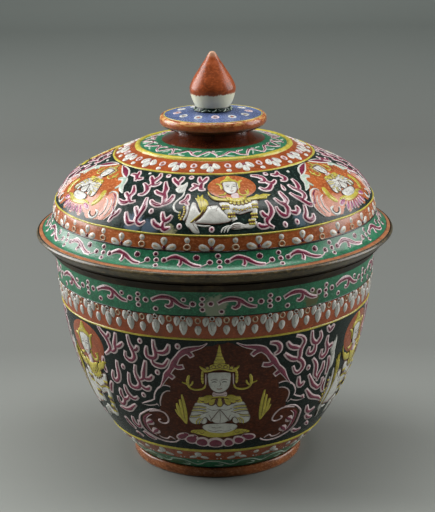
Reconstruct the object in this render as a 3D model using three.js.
// A covered jar in enamelled porcelain. The jar is a deep round bowl on a low foot ring, bound with metal at
// its mouth. The lid is a dome with a flared, metal-bound rim, a collar that drops inside the mouth, and a
// lotus-bud knop that stands on a small saucer.
// Millimetres, +Z up. The origin is the centre of the foot's underside, where the jar stands.
import * as THREE from 'three';

// Clearances
const seatGap = 0.3;            // between the jar's mouth and the lid that rests on it
const bindingGap = 0.3;         // between a metal binding and the porcelain inside it
const collarClearance = 0.7;    // between the lid's collar and the inside of the mouth

// Foot ring
const footRadius = 43.7;
const footHeight = 5;
const footWall = 6.5;
const footBevel = 0.6;

// Jar
const footStep = 1.4;           // how far the foot ring stands out past the jar's wall
const bodyHeight = 104.9;       // from the foot ring to the lower edge of the mouth's binding
const shoulderRadius = 80.6;    // outer radius at the lower edge of the mouth's binding
const jarWall = 5;
const jarFloor = 6;

// The jar's wall between the foot and the shoulder, as shares of the way out and of the way up.
const jarWallShares = [
  [0, 0], [0.139, 0.057], [0.338, 0.143], [0.552, 0.276], [0.731, 0.429],
  [0.861, 0.6], [0.943, 0.772], [0.985, 0.9], [1, 1],
];

// Metal binding of the mouth
const mouthBandHeight = 4.4;
const mouthFlare = 3.3;         // how far the binding leans out towards its top
const mouthSheet = 0.6;         // thickness of its sides
const mouthCap = 1;             // thickness of its flat top
const mouthSkirt = 5.4;         // how far it reaches down inside the mouth

// Metal binding of the lid's rim
const rimOverhang = 5.2;        // how far the rim, the jar's widest place, reaches out past the mouth's binding
const rimConeHeight = 4.8;      // height of the sloping underside
const rimEdgeHeight = 1.7;
const rimBulge = 0.2;           // how far the edge swells out at its middle
const rimSheet = 0.9;

// Lid
const flangeHeight = 8.3;       // from the top of the rim's edge up to the foot of the dome
const domeRadius = 81.3;
const domeHeight = 35.65;
const lidWall = 4.5;
const seatLedge = 4;            // height of the thick edge that rests on the mouth

// The dome between the knop's foot and the flange, as shares of the way out and of the way up.
const domeShares = [
  [0, 1], [0.232, 0.921], [0.436, 0.803], [0.565, 0.72], [0.703, 0.618],
  [0.822, 0.506], [0.906, 0.365], [0.975, 0.19], [1, 0],
];

// The hollowed flange between the rim's flat lip and the dome, as shares of the way out and of the way up.
const flangeShares = [[1, 0], [0.64, 0.13], [0.38, 0.325], [0.16, 0.63], [0, 1]];

// Collar under the lid
const collarWall = 4;
const collarDepth = 8.6;
const collarBevel = 1;

// Knop: pedestal, saucer, leaf collar, cup and bud
const pedestalRadius = 25.8;
const pedestalHeight = 4.4;
const waistRadius = 18.4;
const saucerRadius = 26.75;
const saucerHeight = 8;
const saucerRimHeight = 4.6;    // from the saucer's lower edge up to its top
const moundRadius = 9.9;        // the saucer's top rises to a flat mound that carries the leaf collar
const moundHeight = 1.9;
const leafRadius = 9.5;
const leafHeight = 2.2;
const cupFootRadius = 8.6;
const cupHeight = 6.8;
const budRadius = 11.5;
const budHeight = 20.2;

// The pedestal between its waist and its foot, as shares of the way out and of the way up.
const pedestalShares = [[1, 0], [0.84, 0.14], [0.5, 0.36], [0.2, 0.62], [0, 1]];

// Outlines of the other turned knop pieces, as shares of their radius and height.
const saucerEdgeShares = [[0.955, 0], [1, 0.45], [0.957, 1]];
const leafShares = [[1, 0], [1.03, 0.25], [0.95, 0.65], [0.875, 1]];
const cupShares = [[0, 0], [0.42, 0.3], [0.74, 0.62], [1, 1]];
const budShares = [
  [0.98, 0], [1, 0.08], [0.92, 0.25], [0.82, 0.36], [0.7, 0.47], [0.57, 0.58],
  [0.45, 0.69], [0.31, 0.8], [0.19, 0.915], [0.11, 0.98], [0, 1],
];

// How finely the turned pieces are cut
const turnSteps = 48;
const wallSteps = 11;
const flangeSteps = 5;
const knopSteps = 5;
const budSteps = 9;

// Finishes
const redGlaze = new THREE.MeshStandardMaterial({ color: 0xa06441, roughness: 0.25, metalness: 0 });
const darkEnamel = new THREE.MeshStandardMaterial({ color: 0x37463c, roughness: 0.35, metalness: 0 });
const jarEnamel = new THREE.MeshStandardMaterial({ color: 0x1c2a24, roughness: 0.35, metalness: 0 });
const whiteGlaze = new THREE.MeshStandardMaterial({ color: 0xd8d8cc, roughness: 0.2, metalness: 0 });
const blueEnamel = new THREE.MeshStandardMaterial({ color: 0x6f78a8, roughness: 0.35, metalness: 0 });
const leafEnamel = new THREE.MeshStandardMaterial({ color: 0x2c5140, roughness: 0.35, metalness: 0 });
const brownGlaze = new THREE.MeshStandardMaterial({ color: 0x6b3020, roughness: 0.2, metalness: 0 });
const copperBinding = new THREE.MeshStandardMaterial({ color: 0xb08050, roughness: 0.35, metalness: 0.9 });
const darkBinding = new THREE.MeshStandardMaterial({ color: 0x3c3226, roughness: 0.45, metalness: 0.8 });

/** Points on a smooth curve through the given [radius, height] points. */
function smooth(outline, steps) {
  const curve = new THREE.SplineCurve(outline.map(([radius, height]) => new THREE.Vector2(radius, height)));
  return curve.getPoints(steps).map((point) => [point.x, point.y]);
}

/** Shares of the way out and up, placed between an inner and an outer radius and two heights. */
function between(shares, [innerRadius, outerRadius], [low, high]) {
  return shares.map(([out, up]) => [
    innerRadius + out * (outerRadius - innerRadius),
    low + up * (high - low),
  ]);
}

/** A named piece turned about +Z from its [radius, height] outline, which runs up its outer side. */
function turned(name, outline, material) {
  const points = outline.map(([radius, height]) => new THREE.Vector2(radius, height));
  const geometry = new THREE.LatheGeometry(points, turnSteps);
  geometry.rotateX(Math.PI / 2);
  const mesh = new THREE.Mesh(geometry, material);
  mesh.name = name;
  return mesh;
}

/** A turned ring: its outline goes up the outside, down the inside and closes on itself. */
function turnedRing(name, outline, material) {
  return turned(name, [...outline, outline[0]], material);
}

// Heights of the jar
const floorHeight = footHeight + jarFloor;
const bandFootHeight = footHeight + bodyHeight;
const mouthHeight = bandFootHeight + mouthBandHeight;
const lipHeight = mouthHeight - mouthCap;

// Radii where pieces meet
const jarFootRadius = footRadius - footStep;
const mouthWallRadius = shoulderRadius - jarWall;
const bindingWidth = bindingGap + mouthSheet;
const mouthTopRadius = shoulderRadius + bindingWidth + mouthFlare;
const mouthInnerRadius = mouthWallRadius - bindingWidth;
const collarRadius = mouthInnerRadius - collarClearance;
const collarInnerRadius = collarRadius - collarWall;

/** How far the flared mouth has leaned out at a height. */
function flareAt(height) {
  return mouthFlare * (height - bandFootHeight) / mouthBandHeight;
}

function footRing() {
  const innerRadius = footRadius - footWall;
  return turnedRing('foot_ring', [
    [innerRadius, 0],
    [footRadius - footBevel, 0],
    [footRadius, footBevel],
    [footRadius, footHeight],
    [innerRadius, footHeight],
  ], redGlaze);
}

function jarBody() {
  const outside = smooth(
    between(jarWallShares, [jarFootRadius, shoulderRadius], [footHeight, bandFootHeight]), wallSteps,
  );
  const inside = smooth(
    between(jarWallShares, [jarFootRadius - jarWall, mouthWallRadius], [floorHeight, bandFootHeight]), wallSteps,
  );
  return turned('jar_body', [
    [0, footHeight],
    ...outside,
    [shoulderRadius + flareAt(lipHeight), lipHeight],
    [mouthWallRadius, lipHeight],
    ...inside.reverse(),
    [0, floorHeight],
  ], jarEnamel);
}

function mouthBand() {
  return turnedRing('mouth_band', [
    [shoulderRadius + bindingGap, bandFootHeight],
    [shoulderRadius + bindingWidth, bandFootHeight],
    [mouthTopRadius, mouthHeight],
    [mouthInnerRadius, mouthHeight],
    [mouthInnerRadius, mouthHeight - mouthSkirt],
    [mouthWallRadius - bindingGap, mouthHeight - mouthSkirt],
    [mouthWallRadius - bindingGap, lipHeight],
    [shoulderRadius + bindingGap + flareAt(lipHeight), lipHeight],
  ], darkBinding);
}

// Heights of the lid, measured from the plane that rests on the mouth
const rimLow = rimConeHeight;
const rimHigh = rimLow + rimEdgeHeight;
const springHeight = rimHigh + flangeHeight;
const crownHeight = springHeight + domeHeight;

// The lid's sloping underside leans by its width over its height, and so does the sheet that binds it.
const rimRadius = mouthTopRadius + rimOverhang;
const rimEdgeRadius = rimRadius - rimBulge;
const coneWidth = rimEdgeRadius - mouthTopRadius;
const sheetWidth = rimSheet * Math.hypot(coneWidth, rimConeHeight) / rimConeHeight;
const boundWidth = (rimSheet + bindingGap) * Math.hypot(coneWidth, rimConeHeight) / rimConeHeight;
const boundEdgeRadius = rimEdgeRadius - rimSheet - bindingGap;

/** Height of the rim's sloping underside at a radius, for a surface set in from it by a width. */
function coneHeightAt(radius, width) {
  return rimConeHeight * (radius + width - mouthTopRadius) / coneWidth;
}

function rimBand() {
  const innerRadius = rimEdgeRadius - rimSheet;
  return turnedRing('lid_rim_band', [
    [mouthTopRadius - sheetWidth, 0],
    [mouthTopRadius, 0],
    [rimEdgeRadius, rimLow],
    [rimRadius, (rimLow + rimHigh) / 2],
    [rimEdgeRadius, rimHigh],
    [innerRadius, rimHigh],
    [innerRadius, coneHeightAt(innerRadius, sheetWidth)],
  ], copperBinding);
}

function lidDome() {
  const flange = smooth(
    between(flangeShares, [domeRadius, boundEdgeRadius], [rimHigh, springHeight]), flangeSteps,
  );
  const outside = smooth(
    between(domeShares, [pedestalRadius, domeRadius], [springHeight, crownHeight]), wallSteps,
  );
  const inside = smooth(
    between(domeShares, [pedestalRadius - lidWall, domeRadius - lidWall], [springHeight, crownHeight - lidWall]),
    wallSteps,
  );
  return turned('lid_dome', [
    [0, crownHeight - lidWall],
    ...inside,
    [collarInnerRadius, seatLedge],
    [collarInnerRadius, 0],
    [mouthTopRadius - boundWidth, 0],
    [boundEdgeRadius, coneHeightAt(boundEdgeRadius, boundWidth)],
    ...flange.slice(0, -1),
    ...outside.reverse(),
    [0, crownHeight],
  ], darkEnamel);
}

function lidCollar() {
  return turnedRing('lid_seat_ring', [
    [collarInnerRadius + collarBevel, -collarDepth],
    [collarRadius - collarBevel, -collarDepth],
    [collarRadius, collarBevel - collarDepth],
    [collarRadius, 0],
    [collarInnerRadius, 0],
    [collarInnerRadius, collarBevel - collarDepth],
  ], whiteGlaze);
}

// Heights of the knop, measured from the flat top of the dome
const saucerFoot = pedestalHeight;
const saucerTop = saucerFoot + saucerHeight;
const moundTop = saucerTop + moundHeight;
const cupFoot = moundTop + leafHeight;
const budFoot = cupFoot + cupHeight;

/** Shares of a radius and of the height between two levels, as [radius, height] points. */
function scaled(shares, radius, low, high) {
  return between(shares, [0, radius], [low, high]);
}

function knopPedestal() {
  const flare = smooth(between(pedestalShares, [waistRadius, pedestalRadius], [0, pedestalHeight]), knopSteps);
  return turned('knop_pedestal', [[0, 0], ...flare, [0, pedestalHeight]], brownGlaze);
}

function knopSaucer() {
  const edge = smooth(scaled(saucerEdgeShares, saucerRadius, saucerTop - saucerRimHeight, saucerTop), knopSteps);
  return turned('knop_saucer', [
    [0, saucerFoot], [waistRadius, saucerFoot], ...edge, [moundRadius, moundTop], [0, moundTop],
  ], blueEnamel);
}

function knopCollar() {
  const leaves = scaled(leafShares, leafRadius, moundTop, cupFoot);
  return turned('knop_collar', [[0, moundTop], ...leaves, [0, cupFoot]], leafEnamel);
}

function knopCup() {
  const topRadius = budRadius * budShares[0][0];
  const side = smooth(between(cupShares, [cupFootRadius, topRadius], [cupFoot, budFoot]), knopSteps);
  return turned('knop_cup', [[0, cupFoot], ...side, [0, budFoot]], whiteGlaze);
}

function knopBud() {
  const side = smooth(scaled(budShares, budRadius, budFoot, budFoot + budHeight), budSteps);
  return turned('knop_bud', [[0, budFoot], ...side], redGlaze);
}

const jar = new THREE.Group();
jar.add(footRing(), jarBody(), mouthBand());

const knop = new THREE.Group();
knop.add(knopPedestal(), knopSaucer(), knopCollar(), knopCup(), knopBud());
knop.position.z = crownHeight;

const lid = new THREE.Group();
lid.add(rimBand(), lidDome(), lidCollar(), knop);
lid.position.z = mouthHeight + seatGap;

const coveredJar = new THREE.Group();
coveredJar.add(jar, lid);

export default coveredJar;
